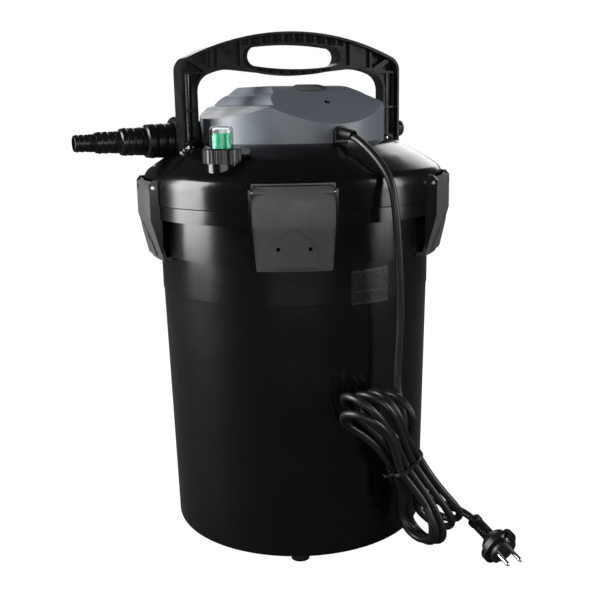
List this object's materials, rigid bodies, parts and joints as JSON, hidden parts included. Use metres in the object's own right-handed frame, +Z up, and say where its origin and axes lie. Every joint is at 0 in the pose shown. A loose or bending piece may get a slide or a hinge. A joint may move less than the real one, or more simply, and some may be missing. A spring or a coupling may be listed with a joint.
{
  "type": "pressurized pond filter",
  "caption": "Round black pressure canister with a clamped lid, a ribbed pull handle over a domed lamp hood, stepped hose tails, a clear flow indicator and a mains lead in a tied hank.",
  "frame": {"origin": "on the canister's axis at the floor, under the feet", "axes": "+Z up; front, with the front clamp, towards -Y; outlet hose tail towards -X"},
  "size_m": [0.4928, 0.4544, 0.5945],
  "materials": {
    "black_gloss": "gloss",
    "grey_clamp": "satin",
    "black_satin": "satin",
    "rubber": "matte",
    "plate": "satin",
    "steel": "satin",
    "foam": "open-cell foam",
    "clear": "clear",
    "white": "satin",
    "grey_blue": "fine grain",
    "grey_badge": "satin",
    "green": "gloss",
    "tie": "gloss",
    "brass": "satin"
  },
  "bodies": {
    "filter": {"canister": "black_gloss", "rubber_feet": "rubber", "rating_plate": "plate", "lid": "black_gloss", "lid_seal": "rubber", "clamp_pins": "steel", "rod_guides": "black_satin", "top_grid": "black_satin", "centre_tube": "black_satin", "foam_ring_1": "foam", "foam_ring_2": "foam", "foam_ring_3": "foam", "foam_ring_4": "foam", "lamp_head": "black_gloss", "sleeve_seal": "rubber", "sleeve_nut": "black_gloss", "quartz_sleeve": "clear", "uv_lamp": "clear", "lamp_socket": "white", "ballast": "black_satin", "terminal_block": "white", "hood": "grey_blue", "hood_screws": "steel", "uv_window": "clear", "hood_badge": "grey_badge", "cable_gland": "black_satin", "outlet_gasket": "rubber", "inlet_gasket": "rubber", "indicator_seal": "rubber", "indicator_dome": "clear", "power_cord": "rubber", "cord_tail": "rubber", "cord_boot": "rubber", "cord_hank": "rubber", "cord_tie": "tie", "plug_body": "rubber", "plug_pins": "brass", "plug_earth_clips": "steel"},
    "pull_handle": {"handle": "black_satin", "pull_rods": "steel", "rod_nuts": "steel", "press_plate": "black_satin"},
    "lock_screw": {"lock_knob": "black_satin"},
    "float": {"indicator_float": "green"},
    "indicator_ring": {"indicator_nut": "black_satin"},
    "outlet_ring": {"outlet_nut": "black_gloss"},
    "outlet_hose_tail": {"outlet_tail": "black_gloss"},
    "inlet_ring": {"inlet_nut": "black_gloss"},
    "inlet_hose_tail": {"inlet_tail": "black_gloss"},
    "clamp_body_1": {"clamp_1": "grey_clamp"},
    "clamp_body_2": {"clamp_2": "grey_clamp"},
    "clamp_body_3": {"clamp_3": "grey_clamp"},
    "clamp_body_4": {"clamp_4": "grey_clamp"},
    "clamp_body_5": {"clamp_5": "grey_clamp"}
  },
  "joints": [
    {"name": "handle_slide", "type": "slide", "parent": "filter", "child": "pull_handle", "axis": [0, 0, 1], "range_m": [0, 0.1], "deforming": ["foam_ring_1", "foam_ring_2", "foam_ring_3", "foam_ring_4"]},
    {"name": "clamp_hinge_1", "type": "hinge", "parent": "filter", "child": "clamp_body_1", "pos_m": [0, -0.1765, 0.425], "axis": [-1, 0, 0], "range_deg": [0, 75]},
    {"name": "clamp_hinge_2", "type": "hinge", "parent": "filter", "child": "clamp_body_2", "pos_m": [0.16786, -0.05454, 0.425], "axis": [-0.309, -0.9511, 0], "range_deg": [0, 75]},
    {"name": "clamp_hinge_3", "type": "hinge", "parent": "filter", "child": "clamp_body_3", "pos_m": [0.10374, 0.14279, 0.425], "axis": [0.809, -0.5878, 0], "range_deg": [0, 75]},
    {"name": "clamp_hinge_4", "type": "hinge", "parent": "filter", "child": "clamp_body_4", "pos_m": [-0.10374, 0.14279, 0.425], "axis": [0.809, 0.5878, 0], "range_deg": [0, 75]},
    {"name": "clamp_hinge_5", "type": "hinge", "parent": "filter", "child": "clamp_body_5", "pos_m": [-0.16786, -0.05454, 0.425], "axis": [-0.309, 0.9511, 0], "range_deg": [0, 75]},
    {"name": "indicator_float_slide", "type": "slide", "parent": "filter", "child": "float", "axis": [0, 0, 1], "range_m": [0, 0.005]},
    {"name": "indicator_ring_turn", "type": "hinge", "parent": "filter", "child": "indicator_ring", "pos_m": [-0.07386, -0.13055, 0.46], "axis": [0, 0, -1], "range_deg": [0, 60]},
    {"name": "outlet_ring_turn", "type": "hinge", "parent": "filter", "child": "outlet_ring", "pos_m": [-0.13056, -0.01613, 0.4733], "axis": [-0.891, -0.454, 0], "continuous": true},
    {"name": "outlet_tail_turn", "type": "hinge", "parent": "filter", "child": "outlet_hose_tail", "pos_m": [-0.13056, -0.01613, 0.4733], "axis": [-0.891, -0.454, 0], "continuous": true},
    {"name": "inlet_ring_turn", "type": "hinge", "parent": "filter", "child": "inlet_ring", "pos_m": [-0.01754, 0.12477, 0.4733], "axis": [-0.1392, 0.9903, 0], "continuous": true},
    {"name": "inlet_tail_turn", "type": "hinge", "parent": "filter", "child": "inlet_hose_tail", "pos_m": [-0.01754, 0.12477, 0.4733], "axis": [-0.1392, 0.9903, 0], "continuous": true},
    {"name": "lock_screw_turn", "type": "hinge", "parent": "pull_handle", "child": "lock_screw", "pos_m": [0.13246, 0.05898, 0.48], "axis": [0.9135, 0.4067, 0], "continuous": true}
  ]
}
